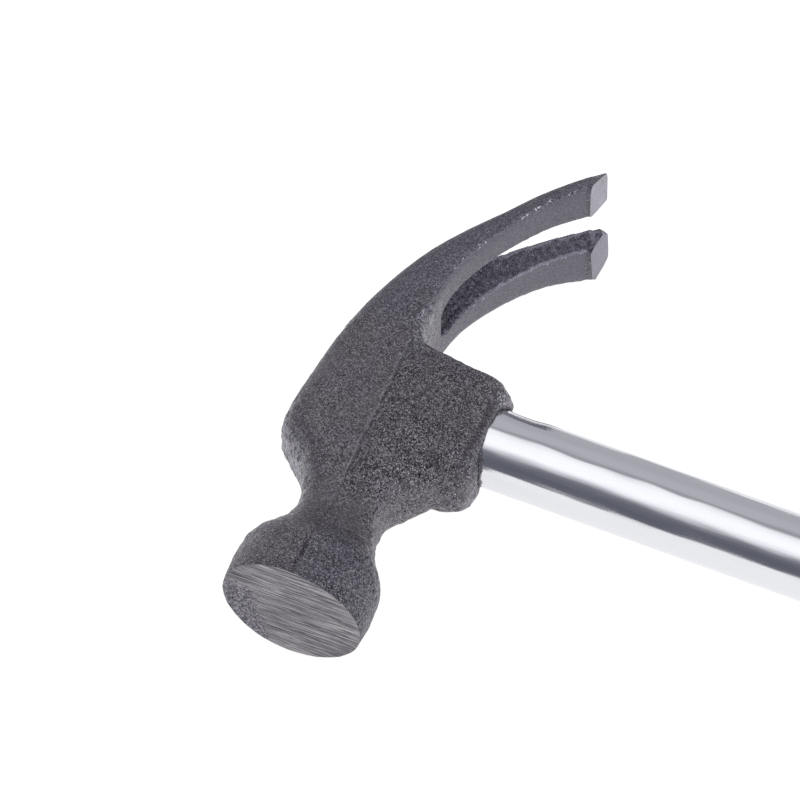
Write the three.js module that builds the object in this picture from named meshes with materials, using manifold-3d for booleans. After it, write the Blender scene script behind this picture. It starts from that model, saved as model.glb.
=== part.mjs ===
// A small claw hammer: a rough cast head on a chromed steel tube, with a rubber sleeve for a grip.
// Millimetres. +X runs along the handle from the head to the butt, +Y from the striking face to the
// claws, and +Z across the head. The hammer lies on its side, so its lowest point is at z = 0.
// Pieces are drawn about the bell: the striking face's centre is the drawing's origin, and
// the whole group is moved at the end, so that the origin is under the middle of its box.

import * as THREE from 'three';
import { LoftGeometry } from 'three/addons/geometries/LoftGeometry.js';
import { mergeVertices } from 'three/addons/utils/BufferGeometryUtils.js';
import Module from 'manifold-3d';

const wasm = await Module();
wasm.setup();

// Driving dimensions
const FIT_GAP = 0.3; // clearance between pieces that touch

const EYE_Y = 43.5; // handle axis behind the striking face
const PARTING_X = -0.5; // the casting's parting line, its widest line
const PARTING_DRAFT = 0.11; // how much narrower the body is at its top and bottom edges

const BOSS_END_X = 19.1; // the mouth of the eye

const SLOT_ROOT_Y = 61.8;
const SLOT_HALF_UNDER = [4.6, 5.4]; // half width on the underside, at the root and the tips
const SLOT_HALF_TOP = [1.6, 4.2]; // half width on the top, where it opens late
const SLOT_ROOT_LENGTH = 4; // length of the rounded root
const SLOT_LENGTH = 30; // along the handle's side of the claws, from the root to the tips
const CLAW_TIP = { x: 17.4, y: 93, tilt: 0.175 }; // where and how the tips are cut off

const TUBE_RADIUS = 7;
const TUBE_WALL = 1.2;
const TUBE_START_X = -13.8; // just below the top of the head
const TUBE_END_X = 234;
const EYE_TOP_HALF = { y: 9.1, z: 5.4 }; // the eye's top, where the tube is pressed to an oval

const CORE_END_X = 6; // the plug inside the tube's top
const WEDGE_LENGTH = 13;
const WEDGE_HALF_WIDTH = 4.6;
const WEDGE_HALF_THICK = 1.2; // at its head
const WEDGE_HALF_TIP = 0.3;

const GRIP_START_X = 140;
const BUTT_X = 252;
const HANG_HOLE_X = 243;
const HANG_HOLE_RADIUS = 4.2;
const END_PLUG_LENGTH = 14;

const HEAD_ROUND = 48; // points round a section of the head
const HANDLE_ROUND = 36;

// Helpers

// A closed solid through rings of points, each anticlockwise as seen from the last one.
function loft(rings) {
  return new LoftGeometry(rings, { capStart: true, capEnd: true });
}

function solidOf(geometry) {
  const bare = new THREE.BufferGeometry().copy(geometry);
  bare.deleteAttribute('normal');
  bare.deleteAttribute('uv');
  const welded = mergeVertices(bare, 1e-4);
  return new wasm.Manifold(
    new wasm.Mesh({
      numProp: 3,
      vertProperties: new Float32Array(welded.attributes.position.array),
      triVerts: new Uint32Array(welded.index.array),
    }),
  );
}

function geometryOf(solid) {
  const { numProp, vertProperties, triVerts } = solid.getMesh();
  const geometry = new THREE.BufferGeometry();
  const positions = [];
  for (let i = 0; i < vertProperties.length; i += numProp) {
    positions.push(vertProperties[i], vertProperties[i + 1], vertProperties[i + 2]);
  }
  geometry.setAttribute('position', new THREE.Float32BufferAttribute(positions, 3));
  geometry.setIndex([...triVerts]);
  geometry.computeVertexNormals();
  return geometry;
}

// One coordinate of a superellipse: 2 is round, and a larger squareness fills its corners.
function rounded(wave, squareness) {
  return Math.sign(wave) * Math.abs(wave) ** (2 / squareness);
}

// A ring about the handle's axis at x, from half widths, to each side along Y and along Z.
function handleRing(x, halfY, halfZ, squareness = 2, points = HANDLE_ROUND) {
  return Array.from({ length: points }, (_, i) => {
    const angle = (i / points) * 2 * Math.PI;
    return new THREE.Vector3(
      x,
      EYE_Y + halfY * rounded(Math.cos(angle), squareness),
      halfZ * rounded(Math.sin(angle), squareness),
    );
  });
}

// Head

// Sections of the casting from the striking face to the claws. Each has the [x, y] of its top and
// bottom edges, its half width, the squareness of its top and bottom halves, and the share of its
// height, from the bottom, where it is widest. With no such share, it is widest at PARTING_X.
const HEAD_SECTIONS = [
  { top: [-12.2, 0], bottom: [12.2, 0], half: 12.2, square: [2, 2] },
  { top: [-12.7, 0.5], bottom: [12.7, 0.5], half: 12.8, square: [2, 2] },
  { top: [-12.5, 9.0], bottom: [12.8, 7.6], half: 12.6, square: [2, 2] },
  { top: [-10.9, 11.4], bottom: [11.8, 10.6], half: 11.6, square: [2, 2.1] },
  { top: [-8.3, 14.0], bottom: [9.6, 13.6], half: 9.8, square: [2.2, 2.4] },
  { top: [-7.1, 16.9], bottom: [8.1, 17.0], half: 8.7, square: [2.6, 2.8] },
  { top: [-7.0, 19.4], bottom: [7.4, 20.0], half: 8.6, square: [2.8, 3.1] },
  { top: [-7.9, 22.6], bottom: [7.6, 23.3], half: 8.9, square: [3, 3.3] },
  { top: [-9.8, 25.8], bottom: [9.0, 26.1], half: 9.4, square: [3, 3.5] },
  { top: [-13.0, 28.7], bottom: [11.2, 28.2], half: 9.6, square: [3, 3.1] },
  { top: [-15.5, 31.2], bottom: [13.1, 30.4], half: 9.8, square: [3.2, 2.8] },
  { top: [-15.7, 35.3], bottom: [12.0, 34.0], half: 10, square: [3.8, 2.6] },
  { top: [-14.7, 43.0], bottom: [9.0, 42.0], half: 10, square: [4.5, 2.6] },
  { top: [-13.8, 50.0], bottom: [5.0, 50.0], half: 10, square: [4.5, 6] },
  { top: [-12.6, 55.9], bottom: [0.6, 54.8], half: 10.1, square: [4.5, 9] },
  { top: [-10.9, 61.1], bottom: [0.6, 58.6], half: 10.3, square: [4.6, 10], widest: 0.1 },
  { top: [-8.4, 66.7], bottom: [0.9, 63.4], half: 10.7, square: [5, 10], widest: 0.08 },
  { top: [-5.1, 72.1], bottom: [2.0, 69.2], half: 11.2, square: [6, 10], widest: 0.08 },
  { top: [-0.9, 77.4], bottom: [4.5, 75.0], half: 11.7, square: [7, 10], widest: 0.08 },
  { top: [3.7, 82.4], bottom: [8.0, 80.8], half: 12.3, square: [8, 10], widest: 0.08 },
  { top: [8.3, 87.5], bottom: [11.8, 85.7], half: 13.3, square: [10, 10], widest: 0.08 },
  { top: [12.9, 91.8], bottom: [15.2, 88.8], half: 14.3, square: [10, 10], widest: 0.08 },
  { top: [17.7, 95.7], bottom: [18.6, 91.9], half: 15.0, square: [10, 10], widest: 0.08 },
  { top: [22.7, 99.2], bottom: [22.2, 94.9], half: 15.3, square: [10, 10], widest: 0.08 },
];
const STEPS_PER_SECTION = 2;

const topEdge = new THREE.CatmullRomCurve3(
  HEAD_SECTIONS.map(({ top, half }) => new THREE.Vector3(...top, half)),
);
const bottomEdge = new THREE.CatmullRomCurve3(
  HEAD_SECTIONS.map(({ bottom, half }) => new THREE.Vector3(...bottom, half)),
);

// The head's section at a share of the way through the list.
function headSection(share) {
  const place = share * (HEAD_SECTIONS.length - 1);
  const from = Math.min(Math.floor(place), HEAD_SECTIONS.length - 2);
  const between = (value) =>
    THREE.MathUtils.lerp(value(HEAD_SECTIONS[from]), value(HEAD_SECTIONS[from + 1]), place - from);
  const top = topEdge.getPoint(share);
  const bottom = bottomEdge.getPoint(share);
  const half = (top.z + bottom.z) / 2;
  top.z = 0;
  bottom.z = 0;
  const level = ({ top: [topX], bottom: [bottomX], widest }) =>
    widest ?? (bottomX - PARTING_X) / (bottomX - topX);
  const topSquare = between(({ square }) => square[0]);
  return {
    top,
    bottom,
    half,
    middle: bottom.clone().lerp(top, between(level)),
    topSquare,
    bottomSquare: between(({ square }) => square[1]),
    draft: PARTING_DRAFT * THREE.MathUtils.smoothstep(topSquare, 2, 3), // none on the round bell
  };
}

function headRing(share) {
  const { top, bottom, half, middle, topSquare, bottomSquare, draft } = headSection(share);
  return Array.from({ length: HEAD_ROUND }, (_, i) => {
    const angle = (i / HEAD_ROUND) * 2 * Math.PI;
    const squareness = Math.cos(angle) > 0 ? topSquare : bottomSquare;
    const up = rounded(Math.cos(angle), squareness);
    const point = middle.clone().lerp(up > 0 ? top : bottom, Math.abs(up));
    point.z = half * rounded(Math.sin(angle), squareness) * (1 - draft * Math.abs(up));
    return point;
  });
}

function castBody() {
  const steps = (HEAD_SECTIONS.length - 1) * STEPS_PER_SECTION;
  return loft(Array.from({ length: steps + 1 }, (_, i) => headRing(i / steps)));
}

// Sections of the eye's boss: how far each reaches from the handle's axis towards the claws,
// towards the neck and to each side. It flares into the claws, and its mouth is rounded.
const BOSS_SECTIONS = [
  { x: -4, claws: 13.0, neck: 13.4, side: 9.5 },
  { x: 0.3, claws: 12.3, neck: 13.4, side: 9.9 },
  { x: 1.4, claws: 11.2, neck: 13.4, side: 9.9 },
  { x: 3.0, claws: 10.8, neck: 13.4, side: 9.8 },
  { x: 7.0, claws: 10.4, neck: 13.2, side: 9.7 },
  { x: 11.0, claws: 10.0, neck: 13.0, side: 9.5 },
  { x: 14.5, claws: 9.8, neck: 12.6, side: 9.3 },
  { x: 16.6, claws: 9.6, neck: 12.2, side: 9.2 },
  { x: 18.0, claws: 9.0, neck: 10.8, side: 8.7 },
  { x: 18.8, claws: 8.3, neck: 9.0, side: 8.1 },
  { x: 19.1, claws: 7.7, neck: 8.1, side: 7.7 },
];
const BOSS_SQUARENESS = { claws: 5, neck: 3.5 };

function bossRing({ x, claws, neck, side }) {
  return Array.from({ length: HEAD_ROUND }, (_, i) => {
    const angle = (i / HEAD_ROUND) * 2 * Math.PI;
    const towardsClaws = Math.cos(angle) > 0;
    const full = towardsClaws ? BOSS_SQUARENESS.claws : BOSS_SQUARENESS.neck;
    const squareness = THREE.MathUtils.lerp(full, 2.5, THREE.MathUtils.smoothstep(x, 14, 19));
    return new THREE.Vector3(
      x,
      EYE_Y + (towardsClaws ? claws : neck) * rounded(Math.cos(angle), squareness),
      side * rounded(Math.sin(angle), squareness),
    );
  });
}

function castBoss() {
  return loft(BOSS_SECTIONS.map(bossRing));
}

// The nail slot follows the claws. It is wider on the underside than on the top, and its root is
// rounded.
function nailSlot() {
  const last = HEAD_SECTIONS.length - 1;
  const first = HEAD_SECTIONS.findIndex(({ bottom }) => bottom[1] > SLOT_ROOT_Y) - 1;
  const steps = 26;
  const past = 3; // how far the cut runs past each face of the claws
  const rings = [];
  for (let i = 0; i <= steps; i++) {
    const { top, bottom } = headSection(THREE.MathUtils.lerp(first / last, 1, i / steps));
    const along = bottom.y - SLOT_ROOT_Y;
    if (along <= 0) continue;
    const root = Math.sqrt(1 - (1 - Math.min(along / SLOT_ROOT_LENGTH, 1)) ** 2);
    const under = root * THREE.MathUtils.lerp(...SLOT_HALF_UNDER, along / SLOT_LENGTH);
    const over = root * THREE.MathUtils.lerp(...SLOT_HALF_TOP, (along / SLOT_LENGTH) ** 2);
    const widen = (under - over) / top.distanceTo(bottom);
    const up = top.clone().sub(bottom).normalize();
    const low = bottom.clone().addScaledVector(up, -past);
    const high = top.clone().addScaledVector(up, past);
    const halfLow = under + widen * past;
    const halfHigh = Math.max(over - widen * past, FIT_GAP);
    rings.push([
      new THREE.Vector3(high.x, high.y, halfHigh),
      new THREE.Vector3(low.x, low.y, halfLow),
      new THREE.Vector3(low.x, low.y, -halfLow),
      new THREE.Vector3(high.x, high.y, -halfHigh),
    ]);
  }
  return loft(rings);
}

// A ring of the eye, or of what fits in it with an inset. The eye runs right through: it is round
// at its mouth and narrows sideways to an oval at its top.
function eyeRing(x, inset) {
  const pressed = THREE.MathUtils.smoothstep(BOSS_END_X - x, 0, BOSS_END_X - TUBE_START_X);
  const halfY = THREE.MathUtils.lerp(TUBE_RADIUS + FIT_GAP, EYE_TOP_HALF.y, pressed) - inset;
  const halfZ = THREE.MathUtils.lerp(TUBE_RADIUS + FIT_GAP, EYE_TOP_HALF.z, pressed) - inset;
  return handleRing(x, halfY, halfZ);
}

function eyeRings(fromX, toX, inset, count = 9) {
  return Array.from({ length: count }, (_, i) =>
    eyeRing(THREE.MathUtils.lerp(fromX, toX, i / (count - 1)), inset),
  );
}

function headGeometry() {
  const trim = 20; // half the size of the block that cuts the claws' tips
  const tipTrim = new THREE.BoxGeometry(2 * trim, 2 * trim, 2 * trim);
  tipTrim.translate(trim, 0, 0).rotateZ(-CLAW_TIP.tilt).translate(CLAW_TIP.x, CLAW_TIP.y, 0);
  const past = 5;
  const eye = eyeRings(TUBE_START_X - past, BOSS_END_X + past, 0, 12);
  const head = solidOf(castBody())
    .add(solidOf(castBoss()))
    .subtract(solidOf(nailSlot()))
    .subtract(solidOf(tipTrim))
    .subtract(solidOf(loft(eye)));
  return geometryOf(head);
}

// Handle

function tubeGeometry() {
  const past = 1;
  const outside = [...eyeRings(TUBE_START_X, BOSS_END_X, FIT_GAP), eyeRing(TUBE_END_X, FIT_GAP)];
  const bore = [
    ...eyeRings(TUBE_START_X - past, BOSS_END_X, FIT_GAP + TUBE_WALL),
    eyeRing(TUBE_END_X + past, FIT_GAP + TUBE_WALL),
  ];
  return geometryOf(solidOf(loft(outside)).subtract(solidOf(loft(bore))));
}

function wedgeGeometry(grow = 0) {
  const start = TUBE_START_X - grow;
  const end = TUBE_START_X + WEDGE_LENGTH + grow;
  const outline = new THREE.Shape([
    new THREE.Vector2(start, -WEDGE_HALF_THICK - grow),
    new THREE.Vector2(end, -WEDGE_HALF_TIP - grow),
    new THREE.Vector2(end, WEDGE_HALF_TIP + grow),
    new THREE.Vector2(start, WEDGE_HALF_THICK + grow),
  ]);
  const width = 2 * (WEDGE_HALF_WIDTH + grow);
  const wedge = new THREE.ExtrudeGeometry(outline, { depth: width, bevelEnabled: false });
  return wedge.rotateX(Math.PI / 2).translate(0, EYE_Y + width / 2, 0);
}

// The plug in the tube's top, which the wedge is driven into.
function coreGeometry() {
  const inset = 2 * FIT_GAP + TUBE_WALL;
  const plug = solidOf(loft(eyeRings(TUBE_START_X + FIT_GAP, CORE_END_X, inset, 5)));
  return geometryOf(plug.subtract(solidOf(wedgeGeometry(FIT_GAP))));
}

// Grip: an oval rubber sleeve, closed at the butt, with a hole to hang it by.
const GRIP_SECTIONS = [
  { x: GRIP_START_X, halfY: 10.5, halfZ: 10 },
  { x: GRIP_START_X + 2, halfY: 12.4, halfZ: 11.9 },
  { x: GRIP_START_X + 7, halfY: 13.0, halfZ: 12.4 },
  { x: GRIP_START_X + 14, halfY: 12.0, halfZ: 11.4 },
  { x: GRIP_START_X + 40, halfY: 13.2, halfZ: 12.2 },
  { x: GRIP_START_X + 70, halfY: 12.8, halfZ: 12.0 },
  { x: GRIP_START_X + 92, halfY: 14.2, halfZ: 12.9 },
  { x: BUTT_X - 8, halfY: 15.4, halfZ: 13.3 },
  { x: BUTT_X - 2, halfY: 14.6, halfZ: 12.6 },
  { x: BUTT_X, halfY: 12.4, halfZ: 10.6 },
];

const GRIP_SQUARENESS = 2.3;
const SOCKET_PAST_TUBE = 2.1; // the sleeve's socket is this much longer than the tube

function gripGeometry() {
  const outline = new THREE.CatmullRomCurve3(
    GRIP_SECTIONS.map(({ x, halfY, halfZ }) => new THREE.Vector3(x, halfY, halfZ)),
  );
  const rings = outline.getPoints(22).map(({ x, y, z }) => handleRing(x, y, z, GRIP_SQUARENESS));
  const past = 1;
  const socketStart = GRIP_START_X - past;
  const socketLength = TUBE_END_X + SOCKET_PAST_TUBE - socketStart;
  const bore = TUBE_RADIUS + FIT_GAP;
  const socket = new THREE.CylinderGeometry(bore, bore, socketLength, HANDLE_ROUND);
  socket.rotateZ(Math.PI / 2).translate(socketStart + socketLength / 2, EYE_Y, 0);
  const hole = new THREE.CylinderGeometry(HANG_HOLE_RADIUS, HANG_HOLE_RADIUS, 60, 32);
  hole.rotateX(Math.PI / 2).translate(HANG_HOLE_X, EYE_Y, 0);
  return geometryOf(solidOf(loft(rings)).subtract(solidOf(socket)).subtract(solidOf(hole)));
}

// The bung that closes the tube's butt end, inside the grip.
function endPlugGeometry() {
  const shank = TUBE_RADIUS - TUBE_WALL - FIT_GAP;
  const flange = 1.2;
  const profile = [
    new THREE.Vector2(0, 0),
    new THREE.Vector2(shank - 1, 0),
    new THREE.Vector2(shank, 1.5),
    new THREE.Vector2(shank, END_PLUG_LENGTH),
    new THREE.Vector2(TUBE_RADIUS, END_PLUG_LENGTH),
    new THREE.Vector2(TUBE_RADIUS, END_PLUG_LENGTH + flange),
    new THREE.Vector2(0, END_PLUG_LENGTH + flange),
  ];
  const plug = new THREE.LatheGeometry(profile, 32);
  plug.rotateZ(-Math.PI / 2);
  return plug.translate(TUBE_END_X + FIT_GAP - END_PLUG_LENGTH, EYE_Y, 0);
}

// Materials
const castIron = new THREE.MeshStandardMaterial({ color: 0x5b5960, roughness: 0.62, metalness: 0.75 });
const chrome = new THREE.MeshStandardMaterial({ color: 0xd6d8de, roughness: 0.1, metalness: 1 });
const wood = new THREE.MeshStandardMaterial({ color: 0xb58a5a, roughness: 0.75, metalness: 0 });
const steel = new THREE.MeshStandardMaterial({ color: 0x9a9ba0, roughness: 0.4, metalness: 1 });
const rubber = new THREE.MeshStandardMaterial({ color: 0x1c1c1e, roughness: 0.8, metalness: 0 });
const plastic = new THREE.MeshStandardMaterial({ color: 0x2a2b2e, roughness: 0.5, metalness: 0 });

// Assembly
function piece(name, geometry, material) {
  const mesh = new THREE.Mesh(geometry, material);
  mesh.name = name;
  return mesh;
}

const hammer = new THREE.Group();
hammer.add(
  piece('hammer_head', headGeometry(), castIron),
  piece('handle_tube', tubeGeometry(), chrome),
  piece('core_plug', coreGeometry(), wood),
  piece('steel_wedge', wedgeGeometry(), steel),
  piece('grip_sleeve', gripGeometry(), rubber),
  piece('tube_end_plug', endPlugGeometry(), plastic),
);

const box = new THREE.Box3().setFromObject(hammer);
const centre = box.getCenter(new THREE.Vector3());
hammer.position.set(-centre.x, -centre.y, -box.min.z);

export default hammer;
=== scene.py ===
# The looks of a small claw hammer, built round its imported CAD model. It lies on its side on a white
# table: the head's casting is rough, with a ground striking face and ground tips, and the handle
# is a bright chromed tube with a rubber grip.

import itertools
import math

import bmesh
import bpy
import numpy as np
from mathutils import Matrix, Vector


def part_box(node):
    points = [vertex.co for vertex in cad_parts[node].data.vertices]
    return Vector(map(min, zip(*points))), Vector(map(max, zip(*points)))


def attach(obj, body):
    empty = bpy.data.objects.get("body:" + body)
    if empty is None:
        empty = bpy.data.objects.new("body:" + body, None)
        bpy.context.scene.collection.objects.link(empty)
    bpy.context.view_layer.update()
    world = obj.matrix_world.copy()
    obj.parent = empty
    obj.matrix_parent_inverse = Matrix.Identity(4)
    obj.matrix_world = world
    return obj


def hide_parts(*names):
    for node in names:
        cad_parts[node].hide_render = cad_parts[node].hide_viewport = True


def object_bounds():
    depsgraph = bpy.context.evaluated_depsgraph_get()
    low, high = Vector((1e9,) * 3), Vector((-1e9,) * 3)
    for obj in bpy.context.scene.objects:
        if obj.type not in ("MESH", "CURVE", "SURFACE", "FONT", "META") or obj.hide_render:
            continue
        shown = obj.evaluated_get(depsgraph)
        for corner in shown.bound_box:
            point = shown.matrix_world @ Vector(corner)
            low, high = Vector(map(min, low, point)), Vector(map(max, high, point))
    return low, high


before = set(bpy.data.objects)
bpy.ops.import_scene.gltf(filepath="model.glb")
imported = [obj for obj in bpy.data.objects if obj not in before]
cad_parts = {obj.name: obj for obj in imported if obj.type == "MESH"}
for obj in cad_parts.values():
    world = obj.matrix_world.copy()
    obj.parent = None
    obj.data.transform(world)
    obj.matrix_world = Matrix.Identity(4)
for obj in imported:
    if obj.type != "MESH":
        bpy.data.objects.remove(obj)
cad_low, cad_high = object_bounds()

MM = 0.001

# Dimensions in millimetres, in the drawing's own frame: its origin is the centre of the striking
# face, +X runs along the handle, +Y from the face to the claws and +Z across the head. A pair of
# X or Y values is a stretch over which one thing turns into the next.
BUTT_X = 252
EYE_Y = 43.5
EYE_TOP_HALF = (9.1, 5.4)
EYE_CLEARANCE = 0.08
FIT_GAP = 0.3
BOSS_END_X = 19.1
MOUTH_SET_BACK = 1.0
MOUTH_SET_BACK_X = (11, 18.5)
MOUTH_START_Y = (34, 39)
MOUTH_END_Y = (47, 50.5)
PARTING_X = -0.5
BELL_BACK_Y = (9, 15)
NECK_Y = 17
CLAW_ROOT_Y = (53, 58)
SLOT_ROOT_Y = (60, 63)
SLOT_HALF_WIDTH = 7
CLAW_TIP_X = 17.4
CLAW_TIP_Y = 93
CLAW_TIP_TILT = 0.175
GROUND_OFF = 1.5
GRINDING_TURN = math.radians(12.9)

TUBE_RADIUS = 7
TUBE_WALL = 1.2
TUBE_START_X = -13.8
TUBE_END_X = 234
TUBE_BEVEL = 0.3
TUBE_START_INSET = 0.25
TUBE_END_INSET = 0.2
PRESS_DEPTH = 0.24
PRESS_ANGLE = math.radians(25)
PRESS_START_X = (BOSS_END_X - 2, 22)
PRESS_END_X = (23, 27.5)

GRIP_START_X = 140
GRIP_SKIN_RADIUS = (9.5, 10.5)
GRIP_RING_PITCH = 5.5
GRIP_RING_DEPTH = 0.55
GRIP_RINGS_START_X = (GRIP_START_X + 16, GRIP_START_X + 22)
GRIP_RINGS_END_X = (222, 228)

# The camera stands at these angles from the front of the CAD frame, and aims a little to the
# right of the striking face's centre and above it, in millimetres.
CAMERA_AZIMUTH = math.radians(23.1)
CAMERA_ELEVATION = math.radians(57)
CAMERA_AIM = (18.29, 35.6)
CAMERA_DISTANCE = 1.5
CAMERA_LENS = 401.6

FACE_CENTRE = Vector((
    cad_high.x - BUTT_X * MM,
    cad_low.y,
    (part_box("hammer_head")[0].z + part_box("hammer_head")[1].z) / 2,
))


# ---------------------------------------------------------------- meshes

def smoothstep(values, low, high):
    """0 below low, 1 above high, and a smooth rise between them."""
    share = np.clip((np.asarray(values, float) - low) / (high - low), 0, 1)
    return share * share * (3 - 2 * share)


LATTICE_SIDE = 32
LATTICE_SHIFT = 500


def lumps(points, size, seed):
    """At each point, a random value from -1 to 1 that changes smoothly over about size."""
    lattice = np.random.default_rng(seed).uniform(-1, 1, (LATTICE_SIDE,) * 3)
    place = points / size + LATTICE_SHIFT
    cell = np.floor(place).astype(int)
    share = place - cell
    share = share * share * (3 - 2 * share)
    total = np.zeros(len(points))
    for corner in itertools.product((0, 1), repeat=3):
        weight = np.prod(np.where(corner, share, 1 - share), axis=1)
        i, j, k = ((cell + corner) % LATTICE_SIDE).T
        total += weight * lattice[i, j, k]
    return total


def to_drawing(mesh):
    """A mesh's points in millimetres in the drawing's frame."""
    points = np.empty(len(mesh.vertices) * 3, np.float32)
    mesh.vertices.foreach_get("co", points)
    return (points.reshape(-1, 3).astype(float) - np.array(FACE_CENTRE)) / MM


def from_drawing(mesh, points):
    """Puts drawing points back into a mesh, in metres, kept inside the CAD model's box."""
    row = np.clip(points * MM + np.array(FACE_CENTRE), np.array(cad_low), np.array(cad_high))
    mesh.vertices.foreach_set("co", row.astype(np.float32).ravel())
    mesh.update()


def add_piece(name, mesh, slot, *nodes):
    """A new object that stands for CAD nodes. It rides the root, as nothing on the hammer moves."""
    piece = bpy.data.objects.new(name, mesh)
    bpy.context.scene.collection.objects.link(piece)
    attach(piece, "root")
    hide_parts(*nodes)


def remeshed(node, voxel, stretch=None):
    """
    A copy of a CAD node's mesh as an even net of quads, in millimetres in the drawing's frame.
    stretch is a function that moves the points first.
    """
    same_point = 0.001
    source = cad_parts[node].data.copy()
    points = to_drawing(source)
    if stretch:
        points = stretch(points)
    source.vertices.foreach_set("co", points.astype(np.float32).ravel())
    scratch = bpy.data.objects.new("scratch", source)
    bpy.context.scene.collection.objects.link(scratch)
    weld = scratch.modifiers.new("weld", "WELD")
    weld.merge_threshold = same_point
    remesh = scratch.modifiers.new("remesh", "REMESH")
    remesh.mode = "VOXEL"
    remesh.voxel_size = voxel
    remesh.use_smooth_shade = True
    evaluated = scratch.evaluated_get(bpy.context.evaluated_depsgraph_get())
    mesh = bpy.data.meshes.new_from_object(evaluated)
    mesh.materials.clear()
    bpy.data.objects.remove(scratch)
    bpy.data.meshes.remove(source)
    return mesh


class Net:
    """A quad mesh's points and edges as arrays, for smoothing and for moving it along its normals."""

    def __init__(self, mesh):
        self.mesh = mesh
        self.points = np.array([v.co for v in mesh.vertices], float)
        edges = np.empty(len(mesh.edges) * 2, int)
        mesh.edges.foreach_get("vertices", edges)
        self.edges = edges.reshape(-1, 2)
        self.count = np.bincount(edges, minlength=len(self.points))[:, None]
        self.quads = np.array([tuple(p.vertices) for p in mesh.polygons])

    def spread(self, values):
        """The average of the neighbours' values at each point."""
        one, other = self.edges.T
        columns = [
            np.bincount(one, values[other, c], len(values))
            + np.bincount(other, values[one, c], len(values))
            for c in range(values.shape[1])
        ]
        return np.stack(columns, axis=1) / self.count

    def normals(self):
        """The direction that faces outwards at each point."""
        a, b, c, d = (self.points[self.quads[:, i]] for i in range(4))
        face = np.cross(c - a, d - b)
        total = np.zeros_like(self.points)
        for i in range(4):
            for axis in range(3):
                total[:, axis] += np.bincount(self.quads[:, i], face[:, axis], len(total))
        return total / np.linalg.norm(total, axis=1, keepdims=True)

    def smooth(self, rounds, share=0.5):
        """Moves points towards their neighbours' average. share is one number, or one for each."""
        share = np.broadcast_to(share, len(self.points))[:, None]
        for _ in range(rounds):
            self.points += share * (self.spread(self.points) - self.points)

    def even(self, rounds):
        """Takes out the steps that remeshing leaves. The second, outward step keeps the size."""
        for _ in range(rounds):
            self.smooth(1, 0.5)
            self.smooth(1, -0.53)

    def hollow(self):
        """How far each point's neighbours stand above it: more than zero in a hollow."""
        return np.sum((self.spread(self.points) - self.points) * self.normals(), axis=1)

    def move(self, distance):
        """Pushes each point out along its normal."""
        self.points += self.normals() * np.asarray(distance)[:, None]

    def mark(self, name, values):
        """Keeps one number for each point, for a material to read."""
        attribute = self.mesh.attributes.new(name, "FLOAT", "POINT")
        attribute.data.foreach_set("value", np.asarray(values, np.float32))


# ---------------------------------------------------------------- materials

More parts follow.
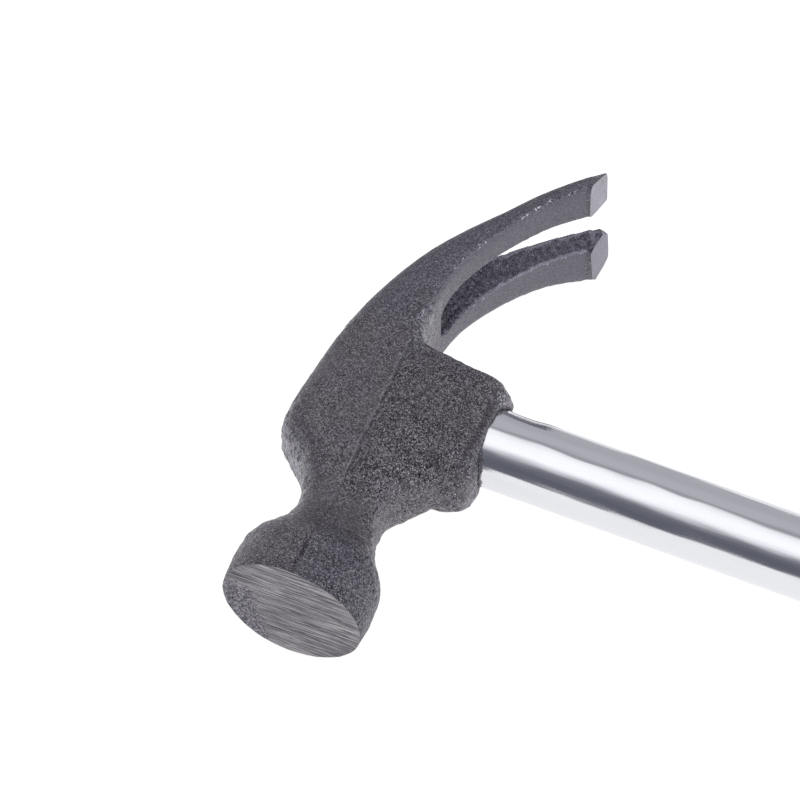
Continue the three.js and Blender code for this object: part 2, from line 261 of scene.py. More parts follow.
class Paint:
    """Builds one material's nodes. Textures sit in object space, in millimetres."""

    def __init__(self, name):
        self.material = bpy.data.materials.new(name)
        self.material.use_nodes = True
        self.tree = self.material.node_tree
        self.shader = self.tree.nodes["Principled BSDF"]
        metres = self.add("ShaderNodeTexCoord").outputs["Object"]
        self.place = self.math_vector("SCALE", metres, scale=1 / MM)

    def add(self, kind, **settings):
        """A new node of a kind, with its settings by name."""
        node = self.tree.nodes.new(kind)
        for key, value in settings.items():
            setattr(node, key, value)
        return node

    def feed(self, socket, value):
        """Links a node's output to a socket, or sets it to a plain value. None leaves it alone."""
        if isinstance(value, bpy.types.NodeSocket):
            self.tree.links.new(value, socket)
        elif value is not None:
            socket.default_value = value

    def math_vector(self, operation, vector, other=None, scale=None):
        """One operation on vectors. Only SCALE has a socket for a scale."""
        node = self.add("ShaderNodeVectorMath", operation=operation)
        self.feed(node.inputs[0], vector)
        self.feed(node.inputs[1], other)
        if operation == "SCALE":
            self.feed(node.inputs["Scale"], scale)
        return node.outputs[0]

    def math(self, operation, a, b=None):
        """One operation on one or two numbers."""
        node = self.add("ShaderNodeMath", operation=operation)
        self.feed(node.inputs[0], a)
        self.feed(node.inputs[1], b)
        return node.outputs[0]

    def times(self, first, *others):
        """The product of two or more numbers."""
        product = first
        for other in others:
            product = self.math("MULTIPLY", product, other)
        return product

    def turned(self, rotation, stretch):
        """The place, turned and squeezed, for a grain that runs along the axis squeezed most."""
        node = self.add("ShaderNodeMapping")
        self.feed(node.inputs["Vector"], self.place)
        node.inputs["Rotation"].default_value = rotation
        node.inputs["Scale"].default_value = stretch
        return node.outputs[0]

    def noise(self, size, detail=2.0, rough=0.5, place=None, warp=0.0):
        """Smooth noise from 0 to 1 whose features are about size millimetres."""
        node = self.add("ShaderNodeTexNoise")
        self.feed(node.inputs["Vector"], place or self.place)
        node.inputs["Scale"].default_value = 1 / size
        node.inputs["Detail"].default_value = detail
        node.inputs["Roughness"].default_value = rough
        node.inputs["Distortion"].default_value = warp
        return node.outputs[0]

    def crystals(self, size):
        """Random grains: a tone from 0 to 1, a colour to tilt each one by, and a second tone."""
        cells = self.add("ShaderNodeTexVoronoi")
        self.feed(cells.inputs["Vector"], self.place)
        cells.inputs["Scale"].default_value = 1 / size
        colour = cells.outputs["Color"]
        split = self.add("ShaderNodeSeparateColor")
        self.feed(split.inputs[0], colour)
        return split.outputs[0], colour, split.outputs[1]

    def drawing_place(self):
        """The place in the drawing's frame, as three numbers in millimetres."""
        place = self.math_vector("SUBTRACT", self.place, tuple(FACE_CENTRE / MM))
        split = self.add("ShaderNodeSeparateXYZ")
        self.feed(split.inputs[0], place)
        return split.outputs

    def tilted(self, tilt, other_tilt, amount):
        """The surface's normal, turned a little by two random colours."""
        both = self.math_vector("ADD", tilt, other_tilt)
        centred = self.math_vector("SUBTRACT", both, (1, 1, 1))
        spread = self.math_vector("SCALE", centred, scale=amount)
        normal = self.add("ShaderNodeNewGeometry").outputs["Normal"]
        return self.math_vector("NORMALIZE", self.math_vector("ADD", normal, spread))

    def flattened(self, amount):
        """The surface's normal, turned up where it faces +Y, as on a slightly flattened side."""
        normal = self.add("ShaderNodeNewGeometry").outputs["Normal"]
        split = self.add("ShaderNodeSeparateXYZ")
        self.feed(split.inputs[0], normal)
        lift = self.add("ShaderNodeCombineXYZ")
        self.feed(lift.inputs[2], self.between(split.outputs[1], 0.35, 0.75, 0, amount))
        return self.math_vector("NORMALIZE", self.math_vector("ADD", normal, lift.outputs[0]))

    def mark(self, name):
        """A number that the mesh keeps for each of its points."""
        return self.add("ShaderNodeAttribute", attribute_name=name).outputs["Fac"]

    def between(self, value, low, high, to_low=0.0, to_high=1.0):
        """Takes low to to_low and high to to_high, and holds what lies past them."""
        node = self.add("ShaderNodeMapRange", clamp=True)
        names = ("Value", "From Min", "From Max", "To Min", "To Max")
        for name, number in zip(names, (value, low, high, to_low, to_high)):
            self.feed(node.inputs[name], number)
        return node.outputs["Result"]

    def mix(self, share, one, other, blend="MIX"):
        """Mixes two colours, each a socket or (red, green, blue)."""
        node = self.add("ShaderNodeMix", data_type="RGBA", blend_type=blend)
        node.clamp_factor = True
        sockets = (node.inputs[0], node.inputs[6], node.inputs[7])
        for socket, value in zip(sockets, (share, one, other)):
            self.feed(socket, (*value, 1) if isinstance(value, tuple) else value)
        return node.outputs[2]

    def blend(self, share, one, other):
        """Mixes two numbers."""
        node = self.add("ShaderNodeMix", data_type="FLOAT")
        for socket, value in zip(node.inputs[:1] + node.inputs[2:4], (share, one, other)):
            self.feed(socket, value)
        return node.outputs[0]

    def bump(self, height, distance, strength=1.0, under=None):
        """A normal from a height of 0 to 1 that stands for distance millimetres, over another."""
        node = self.add("ShaderNodeBump")
        self.feed(node.inputs["Height"], height)
        self.feed(node.inputs["Strength"], strength)
        self.feed(node.inputs["Normal"], under)
        node.inputs["Distance"].default_value = distance * MM
        return node.outputs[0]

    def finish(self, **values):
        """Sets the shader's sockets by name, with spaces as underscores."""
        for key, value in values.items():
            socket = self.shader.inputs[key.replace("_", " ")]
            self.feed(socket, (*value, 1) if isinstance(value, tuple) and len(value) == 3 else value)
        return self.material


def grained_iron(paint, coarse, smooth):
    """The casting's grains: colour, how strongly they show, which ones get a painted glint, and
    normal.
    """
    tone, tilt, glint = paint.crystals(0.18)
    big_tone, big_tilt, _ = paint.crystals(0.38)
    tone = paint.blend(paint.between(coarse, 0, 1, 0.0, 0.15), tone, big_tone)
    tone = paint.math("POWER", tone, paint.between(coarse, 0, 1, 2.1, 2.6))
    busy = paint.times(
        paint.between(paint.noise(4), 0.35, 0.65, 0.7, 1.0),
        paint.between(coarse, 0, 1, 0.5, 1.0),
        paint.between(smooth, 0, 1, 1.0, 0.25),
    )
    tone = paint.blend(busy, 0.3, tone)
    colour = paint.mix(tone, (0.018, 0.016, 0.02), (0.4, 0.37, 0.41))
    facets = paint.tilted(tilt, big_tilt, paint.between(busy, 0, 1, 0.15, 0.95))
    sparkle = paint.times(paint.between(glint, 0.92, 0.95), busy)
    return colour, busy, sparkle, facets


def parting_line(paint):
    """Where the mould's halves met: a broken ridge with a painted highlight, a painted shadow beside
    it, and a fold on the bell with painted shade.
    """
    x, _, _ = paint.drawing_place()
    wander = paint.between(paint.noise(5), 0.3, 0.7, -PARTING_X - 0.3, -PARTING_X + 0.3)
    from_seam = paint.math("ADD", x, wander)
    broken = paint.between(paint.noise(2.5, rough=0.6), 0.3, 0.6, 0.35, 1.0)

    def line(offset, half_width, *shares):
        away = paint.math("ABSOLUTE", paint.math("SUBTRACT", from_seam, offset))
        return paint.times(paint.between(away, half_width, 0.1), *shares)

    seam = paint.mark("seam")
    ridge = line(0, 0.32, broken, seam)
    shade = line(0.5, 0.35, broken, seam)
    groove = line(0.8, 0.6, paint.mark("groove"))
    return ridge, shade, groove


def cast_skin():
    """Sand-cast iron: dark, rough and glittering, with painted glints, worn edges, and light and shade
    painted in places.
    """
    paint = Paint("cast_skin")
    coarse = paint.mark("coarse")
    rugged = paint.mark("rugged")
    wall = paint.mark("wall")
    skin, busy, sparkle, facets = grained_iron(paint, coarse, paint.mark("smooth"))
    ridge, shade, groove = parting_line(paint)

    # Painted light: lighter on the claws' undersides, the boss's end and its corners, and a painted
    # reflection of the table on the poll's lower side.
    skin = paint.mix(paint.mark("light"), skin, (0.3, 0.283, 0.32))
    skin = paint.mix(paint.mark("blue"), skin, (0.95, 0.965, 1.05), blend="MULTIPLY")
    # Painted highlight on the seam's ridge, a painted shadow beside it, and painted shade in the fold
    # on the bell.
    skin = paint.mix(paint.times(ridge, 0.5), skin, (0.24, 0.23, 0.26))
    skin = paint.mix(paint.times(shade, 0.75), skin, (0.04, 0.038, 0.045))
    skin = paint.mix(paint.times(groove, 0.85), skin, (0.025, 0.023, 0.03))
    # Painted shade, mottled: the slot's walls, the neck, the bell's right half and its rim by the
    # face, and bends at the head's top.
    mottle = paint.between(paint.noise(0.9, rough=0.6), 0.4, 0.65, 1.0, 0.3)
    skin = paint.mix(paint.times(paint.mark("dark"), mottle), skin, (0.03, 0.03, 0.042))

    # The slot's walls are dappled, with a painted highlight along their rim, and painted shade runs
    # round the bend at the boss's end.
    dapple = paint.between(paint.noise(0.8, 3, 0.6, warp=0.6), 0.4, 0.62)
    dappled = paint.mix(dapple, (0.03, 0.029, 0.043), (0.18, 0.172, 0.215))
    skin = paint.mix(paint.times(wall, 0.8), skin, dappled)
    skin = paint.mix(paint.mark("slot_rim_highlight"), skin, (0.34, 0.33, 0.39))
    skin = paint.mix(paint.mark("boss_end_shade"), skin, (0.03, 0.028, 0.036))

    # The rugged sides have painted highlights in streaks and painted shade in pits, standing for
    # relief that catches the light; they run across the head.
    streak_place = paint.turned((0, 0, 0), (1, 1, 0.45))
    pit_place = paint.turned((0, 0, 0.5), (1, 1, 0.45))
    streak_highlight = paint.between(paint.noise(0.9, 4, 0.7, streak_place), 0.49, 0.55, 0, 0.6)
    pit_shade = paint.between(paint.noise(0.8, 4, 0.7, pit_place), 0.5, 0.55, 0, 0.85)
    skin = paint.mix(paint.times(rugged, streak_highlight), skin, (0.32, 0.305, 0.37))
    skin = paint.mix(paint.times(rugged, pit_shade), skin, (0.03, 0.028, 0.042))

    # Painted glints on some grains, and spots worn bright along the edges, with a painted sheen among
    # them on the poll's lower side.
    skin = paint.mix(paint.times(sparkle, 0.7), skin, (0.62, 0.6, 0.64))
    _, _, spot_tone = paint.crystals(0.3)
    cluster = paint.between(paint.noise(1.6), 0.42, 0.55)
    worn = paint.times(paint.mark("wear_and_sheen"), paint.between(spot_tone, 0.7, 0.76), cluster)
    skin = paint.mix(worn, skin, (0.62, 0.6, 0.65))

    pores = paint.noise(0.5, 3, 0.6)
    normal = paint.bump(pores, 0.2, paint.between(busy, 0, 1, 0.15, 0.9), under=facets)
    normal = paint.bump(paint.math("SUBTRACT", ridge, groove), 0.15, under=normal)
    normal = paint.bump(paint.noise(1.1, 3, 0.6), 0.45, rugged, under=normal)
    normal = paint.bump(dapple, 0.15, wall, under=normal)
    return paint.finish(
        Base_Color=skin,
        Metallic=0.7,
        Roughness=paint.between(rugged, 0, 1, 0.48, 0.3),
        Normal=normal,
    )


def ground_iron():
    """The striking face: fine parallel grinding lines, and cast skin left in one low corner."""
    paint = Paint("ground_iron")
    along = (0, GRINDING_TURN, 0)
    fine = paint.noise(0.2, 3, 0.65, paint.turned(along, (0.035, 1, 1)))
    cuts = paint.noise(0.26, 2, 0.6, paint.turned(along, (0.03, 1, 1)))
    shade = paint.between(paint.noise(5), 0.35, 0.65, 0, 0.45)
    colour = paint.mix(paint.between(fine, 0.43, 0.57), (0.085, 0.08, 0.089), (0.4, 0.382, 0.405))
    colour = paint.mix(shade, colour, (0.15, 0.143, 0.156))
    colour = paint.mix(paint.between(cuts, 0.57, 0.6, 0, 0.95), colour, (0.05, 0.047, 0.055))

    # The grinder missed the corner that is both left and low, up to a ragged border.
    x, _, z = paint.drawing_place()
    ragged = paint.between(paint.noise(1.6, 3, 0.6), 0.3, 0.7, -2, 2)
    leftward = paint.math("SUBTRACT", paint.times(z, -0.22), x)
    left = paint.between(paint.math("ADD", leftward, ragged), 6.4, 7.2)
    low = paint.between(paint.math("ADD", z, ragged), 4, 2)
    unground = paint.times(left, low)
    tone, tilt, _ = paint.crystals(0.3)
    skin = paint.mix(paint.math("POWER", tone, 1.6), (0.05, 0.047, 0.057), (0.36, 0.34, 0.4))
    facets = paint.tilted(tilt, tilt, paint.between(unground, 0, 1, 0.0, 0.3))
    normal = paint.bump(fine, 0.06, 0.8, under=facets)
    return paint.finish(
        Base_Color=paint.mix(unground, colour, skin),
        Metallic=0.85,
        Roughness=paint.between(unground, 0, 1, 0.42, 0.5),
        Normal=paint.bump(cuts, 0.05, 0.5, under=normal),
    )


def ground_tip():
    """The claws' ends, ground lightly across. The one at the head's lower side has painted shade, so
    it is darker.
    """
    paint = Paint("ground_tip")
    lines = paint.noise(0.3, 3, 0.6, paint.turned((0, 0, -CLAW_TIP_TILT), (1, 1, 0.12)))
    shade = paint.between(paint.noise(2.5), 0.35, 0.65, 0, 0.4)
    _, _, z = paint.drawing_place()
    lower = paint.between(z, 0, -2, 0, 0.5)
    colour = paint.mix(paint.between(lines, 0.35, 0.65), (0.28, 0.275, 0.315), (0.42, 0.41, 0.47))
    colour = paint.mix(shade, colour, (0.26, 0.255, 0.295))
    # Painted shade on the lower tip.
    colour = paint.mix(lower, colour, (0.2, 0.195, 0.232))
    return paint.finish(
        Base_Color=colour,
        Metallic=0.8,
        Roughness=0.5,
        Normal=paint.bump(lines, 0.03, 0.5),
    )


def chrome():
    """Bright plating over a tube that is not quite straight, wiped dull in streaks along it."""
    paint = Paint("chrome")
    waves = paint.noise(8, place=paint.turned((0, 0, 0), (0.3, 1, 1)))
    ripples = paint.noise(2.2, place=paint.turned((0, 0, 0), (0.12, 1, 1)))
    smears = paint.noise(1.0, 3, 0.6, paint.turned((0, 0, 0), (0.06, 1, 1)))
    normal = paint.bump(waves, 0.6, 0.6, under=paint.flattened(0.5))
    normal = paint.bump(ripples, 0.07, 0.6, under=normal)
    return paint.finish(
        Base_Color=(0.72, 0.725, 0.75),
        Metallic=1.0,
        Roughness=paint.between(smears, 0.42, 0.7, 0.1, 0.22),
        Normal=normal,
    )


def wood():
    """End grain of the plug, with rings and dark pores."""
    paint = Paint("wood")
    rings = paint.noise(1.5, 4, 0.6, paint.turned((0, 0, 0), (0.1, 1, 0.6)), warp=0.6)
    pores = paint.noise(0.2)
    colour = paint.mix(paint.between(rings, 0.35, 0.65), (0.33, 0.17, 0.07), (0.55, 0.34, 0.16))
    colour = paint.mix(paint.between(pores, 0.6, 0.7), colour, (0.12, 0.06, 0.03))
    return paint.finish(Base_Color=colour, Roughness=0.75, Normal=paint.bump(pores, 0.08, 0.5))


def wedge_steel():
    """Plain steel with a little rust."""
    paint = Paint("wedge_steel")
    grain = paint.noise(0.3, 4, 0.65)
    rust = paint.between(paint.noise(2.5, 4, 0.6), 0.55, 0.7)
    colour = paint.mix(paint.between(grain, 0.3, 0.7), (0.18, 0.18, 0.19), (0.4, 0.4, 0.42))
    colour = paint.mix(rust, colour, (0.16, 0.09, 0.05))
    return paint.finish(
        Base_Color=colour,
        Metallic=paint.between(rust, 0, 1, 0.9, 0.2),
        Roughness=paint.between(grain, 0.3, 0.7, 0.35, 0.6),
        Normal=paint.bump(grain, 0.04, 0.6),
    )


def rubber():
    """Black rubber, a little dusty."""
    paint = Paint("rubber")
    grain = paint.noise(0.25, 3, 0.6)
    dust = paint.between(paint.noise(6, 5, 0.6), 0.5, 0.8)
    colour = paint.mix(dust, (0.013, 0.013, 0.014), (0.032, 0.031, 0.03))
    return paint.finish(
        Base_Color=colour,
        Roughness=paint.between(grain, 0.3, 0.7, 0.55, 0.72),
        Normal=paint.bump(grain, 0.05, 0.5),
    )


def bung_plastic():
    """Moulded black plastic."""
    paint = Paint("bung_plastic")
    grain = paint.noise(0.4, 3, 0.5)
    colour = paint.mix(grain, (0.02, 0.021, 0.024), (0.035, 0.036, 0.04))
    return paint.finish(Base_Color=colour, Roughness=0.5, Normal=paint.bump(grain, 0.02, 0.4))


# ---------------------------------------------------------------- head

TIP_OUT = np.array([math.cos(CLAW_TIP_TILT), -math.sin(CLAW_TIP_TILT), 0])
TIP_POINT = np.array([CLAW_TIP_X, CLAW_TIP_Y, 0])
FACE_SLOT = 1
TIP_SLOT = 2

# Corners of the claws that are blunted: where, which way they point, how deep and how far round.
BLUNTED_CORNERS = (
    ((18.4, 95.8, -4.3), (0.5, 0.6, 0.6), 1.3, 7),
    ((18.13, 90.53, -14.2), (0.33, -0.77, -0.545), 0.45, 3),
    ((17.9, 95.8, 13.4), (0.6, 0.5, 0.6), 0.8, 5),
)

# Patches of the casting that are rubbed bright (worn at the boss's top corner, a painted sheen on the
# poll's lower side), or painted light all over at the boss's end corners: where, how wide and how
# much.
WEAR_AND_SHEEN_PATCHES = (((18.6, 49.5, 6.5), 2.8, 0.8), ((-12.5, 28, 1), 3, 0.5))
PAINTED_LIGHT_PATCHES = (((18.3, 34.3, -4.7), 4, 0.35), ((18.6, 49.5, 6.5), 3, 0.3))


def with_stock_to_grind(points):
    """The casting before grinding: its face and its claws' tips are longer."""
    at_face = points[:, 1] < 0.25
    points[at_face] -= (0, GROUND_OFF, 0)
    past_tip = (points - TIP_POINT) @ TIP_OUT
    at_tip = (np.abs(past_tip) < 0.01) & (points[:, 1] > CLAW_TIP_Y - 8)
    points[at_tip] += TIP_OUT * GROUND_OFF
    return points


def grind(mesh, point, out, chosen, slot):
    """Cuts off what lies beyond a plane, at the faces that chosen picks, and fills the cut."""
    work = bmesh.new()
    work.from_mesh(mesh)
    faces = [f for f in work.faces if chosen(f.calc_center_median())]
    edges = {e for f in faces for e in f.edges}
    verts = {v for f in faces for v in f.verts}
    cut = bmesh.ops.bisect_plane(
        work, geom=[*verts, *edges, *faces], plane_co=point, plane_no=out, clear_outer=True
    )
    rim = [e for e in cut["geom_cut"] if isinstance(e, bmesh.types.BMEdge)]
    filled = bmesh.ops.holes_fill(work, edges=rim, sides=0)["faces"]
    for face in filled:
        face.material_index = slot
        face.smooth = False
    for edge in rim:
        edge.smooth = False
    work.to_mesh(mesh)
    work.free()


def blunt(points, corner, out, depth, reach):
    """Flattens a corner: pushes points near it back to a plane that lies depth inside it."""
    out = np.array(out) / np.linalg.norm(out)
    away = np.linalg.norm(points - corner, axis=1) / reach
    beyond = (points - corner) @ out + depth * np.maximum(1 - away**2, 0)
    points -= np.where(away < 1, np.maximum(beyond, 0), 0)[:, None] * out


def near(points, place, reach):
    """1 at a place, falling to 0 round it."""
    return np.exp(-np.sum((points - place) ** 2, axis=1) / reach**2)


def patches(points, table):
    """The sum of a table's patches, each near() its place."""
    return sum(amount * near(points, place, reach) for place, reach, amount in table)


def fit_eye(points):
    """Makes the eye's wall smooth, and tight on the tube."""
    wall_reach = 1.09
    half_y, half_z = np.array([eye_half(x) for x in points[:, 0]]).T - FIT_GAP + EYE_CLEARANCE
    reach = np.hypot((points[:, 1] - EYE_Y) / half_y, points[:, 2] / half_z)
    wall = (reach < wall_reach) & (points[:, 0] > TUBE_START_X - 1)
    scale = np.where(wall, 1 / reach, 1)
    points[:, 1] = EYE_Y + (points[:, 1] - EYE_Y) * scale
    points[:, 2] *= scale


def smooth_casting():
    """The head's net before it gets its roughness, and 1 for its points outside the eye."""
    net = Net(remeshed("hammer_head", voxel=0.4, stretch=with_stock_to_grind))
    from_eye = np.hypot(net.points[:, 1] - EYE_Y, net.points[:, 2])
    in_eye = (from_eye < 9.3) & (from_eye < 7.8 + 1.6 * (net.points[:, 0] < 10))
    free = np.where(in_eye, 0.0, 1.0)
    net.even(8)
    fillet_rounds = 40
    for _ in range(fillet_rounds):
        net.smooth(1, 0.9 * smoothstep(net.hollow(), 0.004, 0.03) * free)
    return net, free


class Regions:
    """Parts of the casting, each as a share from 0 to 1 for each point of its smooth net."""

    def __init__(self, net):
        self.points = net.points.copy()
        self.out = net.normals()
        self.edge = -net.hollow()
        x, y, z = self.points.T
        out_x, _, out_z = self.out.T
        up = np.abs(out_z)
        self.claw = smoothstep(y, *CLAW_ROOT_Y)
        self.far_claw = self.claw * smoothstep(y, 58, 78)
        self.under = self.claw * smoothstep(out_x, 0.45, 0.65)
        faces_slot = smoothstep(-np.sign(z) * out_z, 0.3, 0.6) * (np.abs(z) < SLOT_HALF_WIDTH)
        self.slot_wall = smoothstep(y, *SLOT_ROOT_Y) * faces_slot
        self.neck = np.exp(-(((y - NECK_Y) / 6) ** 2))
        self.bell = 1 - smoothstep(y, *BELL_BACK_Y)
        self.side = (1 - smoothstep(up, 0.4, 0.85)) * (1 - self.claw) * smoothstep(y, 3, 8)
        self.cheek = smoothstep(up, 0.6, 0.85) * (1 - smoothstep(y, 50, 56))
        self.boss_half = smoothstep(x - PARTING_X, -0.5, 1.5) * (1 - self.claw) * smoothstep(y, 16, 24)
        self.boss_end = smoothstep(x, 14, 17) * smoothstep(out_x, 0.4, 0.8) * (1 - self.claw)
        self.right = smoothstep(x, -1, 3)
        poll_bend = smoothstep(up, 0.6, 0.75) * (1 - smoothstep(up, 0.88, 0.96)) * (x < -3)
        self.poll_bend = poll_bend * smoothstep(y, 18, 22) * (1 - smoothstep(y, 32, 40))
        self.back = smoothstep(-out_x, 0.15, 0.6) * smoothstep(y, 42, 48)
        coarse = 0.3 + 0.6 * self.boss_half + 0.25 * self.bell + 0.5 * self.side
        self.coarse = np.clip(coarse + 0.2 * lumps(self.points, 8, seed=5), 0, 1)


def cast_relief(at):
    """How far the cast skin stands out, with a step down on the boss's side of the parting line."""
    points = at.points
    relief = 0.05 * lumps(points, 3.2, seed=1) + 0.035 * lumps(points, 1.5, seed=2)
    relief += 0.04 * (0.3 + at.coarse) * lumps(points, 0.8, seed=3)
    relief += at.side * (0.14 * lumps(points, 1.9, seed=9) + 0.13 * lumps(points, 0.95, seed=10))
    relief += at.neck * (0.1 * lumps(points, 1.8, seed=13) - 0.03)
    relief *= (1 - 0.6 * at.under) * (1 - 0.7 * at.claw)
    step = smoothstep(points[:, 0] - PARTING_X, -0.2, 0.3)
    return relief - 0.06 - 0.07 * at.cheek * step


def mark_head(net, free, at):
    """Keeps the numbers that cast_skin reads: where its skin has each kind of look."""
    x, y, _ = at.points.T
    out_x = at.out[:, 0]

    # The grains' size and strength, and a colder tint.
    net.mark("coarse", at.coarse * free)
    smooth = (0.3 + 0.5 * at.far_claw) * at.under + 0.4 * at.neck + 0.45 * at.far_claw
    net.mark("smooth", np.clip(smooth, 0, 1))
    blue = at.far_claw + 0.6 * at.claw + 0.7 * at.bell * at.right
    blue += 0.25 * smoothstep(lumps(at.points, 5, seed=21), 0.1, 0.6)
    net.mark("blue", np.clip(blue, 0, 1))

    # Edges rubbed bright, here and there along the claws, with a painted sheen on the poll's lower
    # side, and the skin's painted light and painted shade.
    fade = smoothstep(np.sin(y * 0.45 + 1), -0.8, 0.4)
    wear_and_sheen = smoothstep(at.edge, 0.01, 0.035) * at.claw * (1 - at.slot_wall) * fade
    wear_and_sheen += patches(at.points, WEAR_AND_SHEEN_PATCHES)
    net.mark("wear_and_sheen", np.clip(wear_and_sheen * free, 0, 1))
    # Painted light: the claws' undersides and the boss's end, which face the side lamp, the boss's end
    # corners, and a painted reflection of the table on the poll's lower side.
    light = 0.07 * at.under + 0.12 * at.boss_end + patches(at.points, PAINTED_LIGHT_PATCHES)
    light += 0.85 * at.side * near(at.points, (-12.5, 27.5, 1), 6)
    net.mark("light", np.clip(light * free, 0, 1))
    # Painted shade: darker on the slot's walls, the neck, the bell's right half and its rim by the
    # face, the bend at the head's top side and the head's top round the eye.
    dark = 0.3 * at.slot_wall + 0.05 * at.neck + 0.15 * at.bell * at.right
    dark += 0.3 * (1 - smoothstep(y, 0.5, 2.2)) + 0.45 * at.poll_bend + 0.45 * at.back
    net.mark("dark", np.clip(dark, 0, 1))

    # Streaked sides with painted highlights and shade, the slot's walls and their rim's painted
    # highlight, the painted shade on the bend round the boss's end, the parting line.
    rugged = at.side * (1 - 0.65 * smoothstep(x, -3, 0))
    rugged += 1.3 * near(at.points, (1.5, 57, 5), 6) * smoothstep(out_x, -0.1, 0.2)
    net.mark("rugged", np.clip(rugged * free, 0, 1))
    net.mark("wall", at.slot_wall * (1 - 0.5 * smoothstep(y, 68, 88)))
    # Painted highlight along the slot walls' lower rim.
    slot_rim_highlight = at.slot_wall * smoothstep(at.edge, 0.0, 0.015) * smoothstep(out_x, -0.1, 0.2)
    net.mark("slot_rim_highlight", 0.7 * slot_rim_highlight * smoothstep(y, 62, 80))
    # Painted shade on the bend round the boss's end.
    turning = smoothstep(out_x, 0.3, 0.5) * (1 - smoothstep(out_x, 0.65, 0.85))
    net.mark("boss_end_shade", 0.6 * turning * smoothstep(x, 13.5, 15.5) * (1 - at.claw) * (y > 25))
    net.mark("seam", at.cheek * (1 - at.bell) * (1 - 0.6 * at.neck))
    net.mark("groove", at.cheek * at.bell * smoothstep(y, 0, 2) * (1 - 0.6 * smoothstep(y, 5, 8)))


def set_mouth_back(points, at):
    """Shortens the boss round the tube, but not its corner on the claws' side."""
    x, y, _ = at.points.T
    round_the_tube = smoothstep(y, *MOUTH_START_Y) * (1 - smoothstep(y, *MOUTH_END_Y))
    points[:, 0] -= MOUTH_SET_BACK * smoothstep(x, *MOUTH_SET_BACK_X) * round_the_tube


def grind_ends(mesh):
    """Cuts the striking face and both claws' tips flat. The lower tip is cut a little askew."""
    grind(mesh, (0, 0, 0), (0, -1, 0), lambda p: p.y < 3, FACE_SLOT)
    upper_point = TIP_POINT + TIP_OUT * 0.1
    lower_point = TIP_POINT + TIP_OUT * 0.15
    grind(mesh, upper_point, TIP_OUT, lambda p: p.y > 80 and p.z > 0, TIP_SLOT)
    grind(mesh, lower_point, TIP_OUT + (0, 0, 0.05), lambda p: p.y > 80 and p.z < 0, TIP_SLOT)


def make_head():
    net, free = smooth_casting()
    at = Regions(net)
    net.move(free * cast_relief(at))
    mark_head(net, free, at)
    set_mouth_back(net.points, at)
    for corner in BLUNTED_CORNERS:
        blunt(net.points, *corner)
    fit_eye(net.points)

    mesh = net.mesh
    mesh.vertices.foreach_set("co", net.points.astype(np.float32).ravel())
    mesh.update()
    grind_ends(mesh)
    from_drawing(mesh, np.array([v.co for v in mesh.vertices], float))
    for material in (cast_skin(), ground_iron(), ground_tip()):
        mesh.materials.append(material)
    add_piece("cast_head", mesh, "cast_iron", "hammer_head")


# ---------------------------------------------------------------- handle

def ring_mesh(name, rings):
    """A mesh through rings with the same number of points each. The last joins the first."""
    count = len(rings[0])
    total = len(rings)
    verts = [Vector(p) * MM + FACE_CENTRE for ring in rings for p in ring]
    faces = []
    for i, j in itertools.product(range(total), range(count)):
        start = i * count
        after = (i + 1) % total * count
        k = (j + 1) % count
        faces.append((start + j, start + k, after + k, after + j))
    mesh = bpy.data.meshes.new(name)
    mesh.from_pydata(verts, [], faces)
    mesh.polygons.foreach_set("use_smooth", [True] * len(mesh.polygons))
    mesh.update()
    return mesh


def eye_half(x):
    """The eye's half sizes at x, along Y and Z: round at its mouth and oval at its top."""
    pressed = float(smoothstep(BOSS_END_X - x, 0, BOSS_END_X - TUBE_START_X))
    round_half = TUBE_RADIUS + FIT_GAP
    return [round_half + (half - round_half) * pressed for half in EYE_TOP_HALF]


def tube_ring(x, inset, count=160):
    """A ring of the tube. A short way out of the head it is pressed in on its claw side."""
    half_y, half_z = (half - FIT_GAP - inset for half in eye_half(x))
    angles = np.arange(count) / count * 2 * math.pi
    side = np.maximum(np.cos(angles - PRESS_ANGLE), 0) ** 2
    along = smoothstep(x, *PRESS_START_X) * (1 - smoothstep(x, *PRESS_END_X))
    pressed = PRESS_DEPTH * side * along
    return np.stack(
        [
            np.full(count, float(x)),
            EYE_Y + (half_y - pressed) * np.cos(angles),
            (half_z - pressed) * np.sin(angles),
        ],
        axis=1,
    )


def make_tube():
    """The rings lie close together where the tube is pressed in."""
    pressed_end_x = 36
    xs = [
        *np.arange(TUBE_START_X + TUBE_BEVEL, BOSS_END_X, 1.5),
        *np.arange(BOSS_END_X, pressed_end_x, 0.5),
        *np.arange(pressed_end_x, TUBE_END_X - TUBE_BEVEL, 3.0),
    ]
    outside = [tube_ring(x, 0) for x in xs]
    first = tube_ring(TUBE_START_X, TUBE_START_INSET)
    last = tube_ring(TUBE_END_X, TUBE_END_INSET)
    inside_xs = (TUBE_END_X, GRIP_START_X, 20, 10, 0, TUBE_START_X)
    inside = [tube_ring(x, TUBE_WALL) for x in inside_xs]
    mesh = ring_mesh("tube", [first, *outside, last, *inside])
    mesh.materials.append(chrome())
    add_piece("chromed_tube", mesh, "chrome", "handle_tube")


def make_plug():
    net = Net(remeshed("core_plug", voxel=0.3))
    net.smooth(3)
    net.move(-0.05 + 0.04 * lumps(net.points, 1.5, seed=11))
    from_drawing(net.mesh, net.points)
    net.mesh.materials.append(wood())
    add_piece("wood_plug", net.mesh, "wood", "core_plug")


def make_wedge():
    net = Net(remeshed("steel_wedge", voxel=0.15))
    net.smooth(3)
    net.move(-0.03 + 0.03 * lumps(net.points, 1.2, seed=12))
    from_drawing(net.mesh, net.points)
    net.mesh.materials.append(wedge_steel())
    add_piece("eye_wedge", net.mesh, "steel", "steel_wedge")


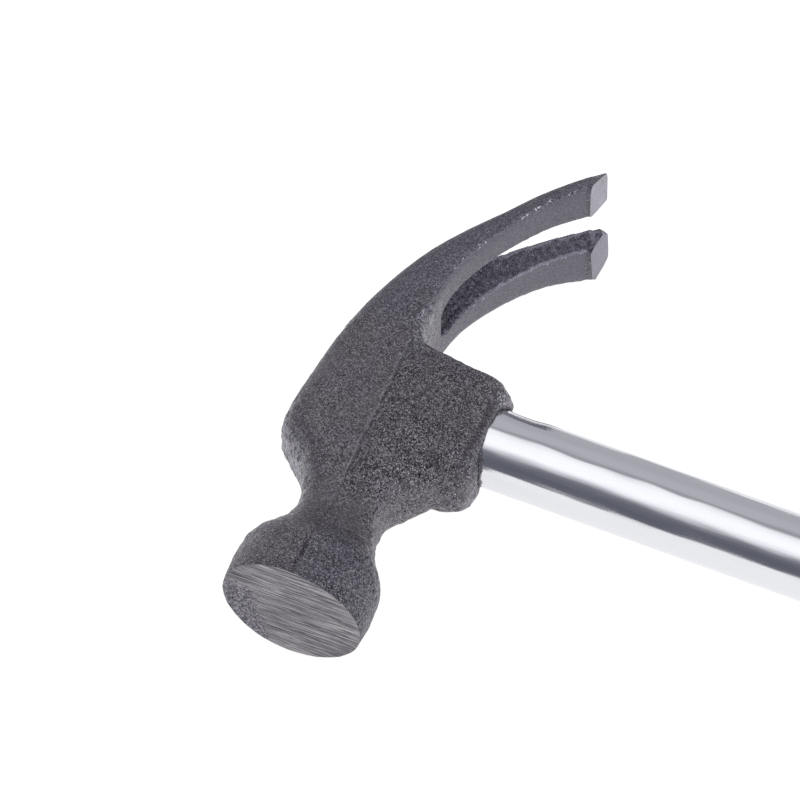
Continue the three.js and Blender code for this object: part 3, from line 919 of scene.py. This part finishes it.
def make_grip():
    net = Net(remeshed("grip_sleeve", voxel=0.5))
    net.smooth(6)
    x, y, z = net.points.T
    outside = smoothstep(np.hypot(y - EYE_Y, z), *GRIP_SKIN_RADIUS)
    along = smoothstep(x, *GRIP_RINGS_START_X) * (1 - smoothstep(x, *GRIP_RINGS_END_X))
    wave = np.cos((x - GRIP_START_X) / GRIP_RING_PITCH * 2 * math.pi)
    net.move(outside * along * -GRIP_RING_DEPTH * smoothstep(wave, 0.3, 0.9))
    from_drawing(net.mesh, net.points)
    net.mesh.materials.append(rubber())
    add_piece("rubber_grip", net.mesh, "rubber", "grip_sleeve")


# ---------------------------------------------------------------- stage

def make_floor():
    """A white table that glows a little, so that no shadow shows on it."""
    paint = Paint("table")
    speckle = paint.between(paint.noise(3), 0, 1, 0, 0.3)
    colour = paint.mix(speckle, (0.22, 0.22, 0.22), (0.2, 0.2, 0.2))
    material = paint.finish(
        Base_Color=colour,
        Roughness=0.9,
        Specular_IOR_Level=0.0,
        Emission_Color=(1, 1, 1),
        Emission_Strength=0.95,
    )
    mesh = bpy.data.meshes.new("table")
    half = 6
    outline = ((-half, -half), (half, -half), (half, half), (-half, half))
    mesh.from_pydata([(x, y, cad_low.z) for x, y in outline], [], [(0, 1, 2, 3)])
    mesh.materials.append(material)
    floor = bpy.data.objects.new("table", mesh)
    bpy.context.scene.collection.objects.link(floor)


def make_light(name, place, aim, size, power):
    """An area light at a place, turned to its aim."""
    data = bpy.data.lights.new(name, "AREA")
    data.shape = "RECTANGLE"
    data.size, data.size_y = size
    data.energy = power
    light = bpy.data.objects.new(name, data)
    light.location = place
    light.rotation_euler = (Vector(aim) - Vector(place)).to_track_quat("-Z", "Y").to_euler()
    bpy.context.scene.collection.objects.link(light)


# How bright the studio is, at degrees round the handle's axis: from the table's edge beyond the
# claws, over the top, to the table's edge before the striking face.
STUDIO_LEVELS = {
    0: 0.53, 20: 0.52, 36: 0.58, 55: 0.58, 62: 0.42, 67: 0.42, 72: 1.1, 82: 1.28, 95: 1.36, 113: 1.36,
    122: 1.05, 128: 0.6, 134: 0.28, 145: 0.19, 158: 0.16, 172: 0.17, 180: 0.2,
}
STUDIO_TINT = (-0.02, -0.015, 0.02)


def make_world():
    """A studio with a bright strip overhead, grey beyond the claws and dark before the face."""
    world = bpy.data.worlds.new("studio")
    world.use_nodes = True
    tree = world.node_tree
    place = tree.nodes.new("ShaderNodeTexCoord")
    split = tree.nodes.new("ShaderNodeSeparateXYZ")
    tree.links.new(place.outputs["Generated"], split.inputs[0])
    angle = tree.nodes.new("ShaderNodeMath")
    angle.operation = "ARCTAN2"
    tree.links.new(split.outputs["Z"], angle.inputs[0])
    tree.links.new(split.outputs["Y"], angle.inputs[1])
    half_turns = tree.nodes.new("ShaderNodeMath")
    half_turns.operation = "DIVIDE"
    half_turns.inputs[1].default_value = math.pi
    tree.links.new(angle.outputs[0], half_turns.inputs[0])
    ramp = tree.nodes.new("ShaderNodeValToRGB")
    stops = ramp.color_ramp.elements
    for degrees in list(STUDIO_LEVELS)[1:-1]:
        stops.new(degrees / 180)
    for stop, level in zip(stops, STUDIO_LEVELS.values()):
        stop.color = (*(level + tint for tint in STUDIO_TINT), 1)
    tree.links.new(half_turns.outputs[0], ramp.inputs["Fac"])
    tree.links.new(ramp.outputs["Color"], tree.nodes["Background"].inputs["Color"])
    bpy.context.scene.world = world


def make_camera():
    """A long lens, looking down at the head's side and at its striking face."""
    across, along = math.sin(CAMERA_AZIMUTH), math.cos(CAMERA_AZIMUTH)
    level = math.cos(CAMERA_ELEVATION)
    back = Vector((across * level, -along * level, math.sin(CAMERA_ELEVATION)))
    right = Vector((along, across, 0))
    up = back.cross(right)
    aim = FACE_CENTRE + (right * CAMERA_AIM[0] + up * CAMERA_AIM[1]) * MM
    data = bpy.data.cameras.new("camera")
    data.sensor_width = 36
    data.lens = CAMERA_LENS
    data.clip_start = 0.01
    data.clip_end = 50
    camera = bpy.data.objects.new("camera", data)
    turn = Matrix((right, up, back)).transposed().to_4x4()
    camera.matrix_world = Matrix.Translation(aim + back * CAMERA_DISTANCE) @ turn
    bpy.context.scene.collection.objects.link(camera)
    bpy.context.scene.camera = camera


make_camera()
make_floor()
make_world()
make_light("side", place=(1.0, -0.2, 0.2), aim=(-0.1, 0, 0.02), size=(0.7, 0.4), power=2.3)
make_head()
make_tube()
make_plug()
make_wedge()
make_grip()
bung_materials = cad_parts["tube_end_plug"].data.materials
bung_materials.clear()
bung_materials.append(bung_plastic())

bpy.context.scene.view_settings.view_transform = "Standard"
bpy.context.scene.cycles.use_denoising = False
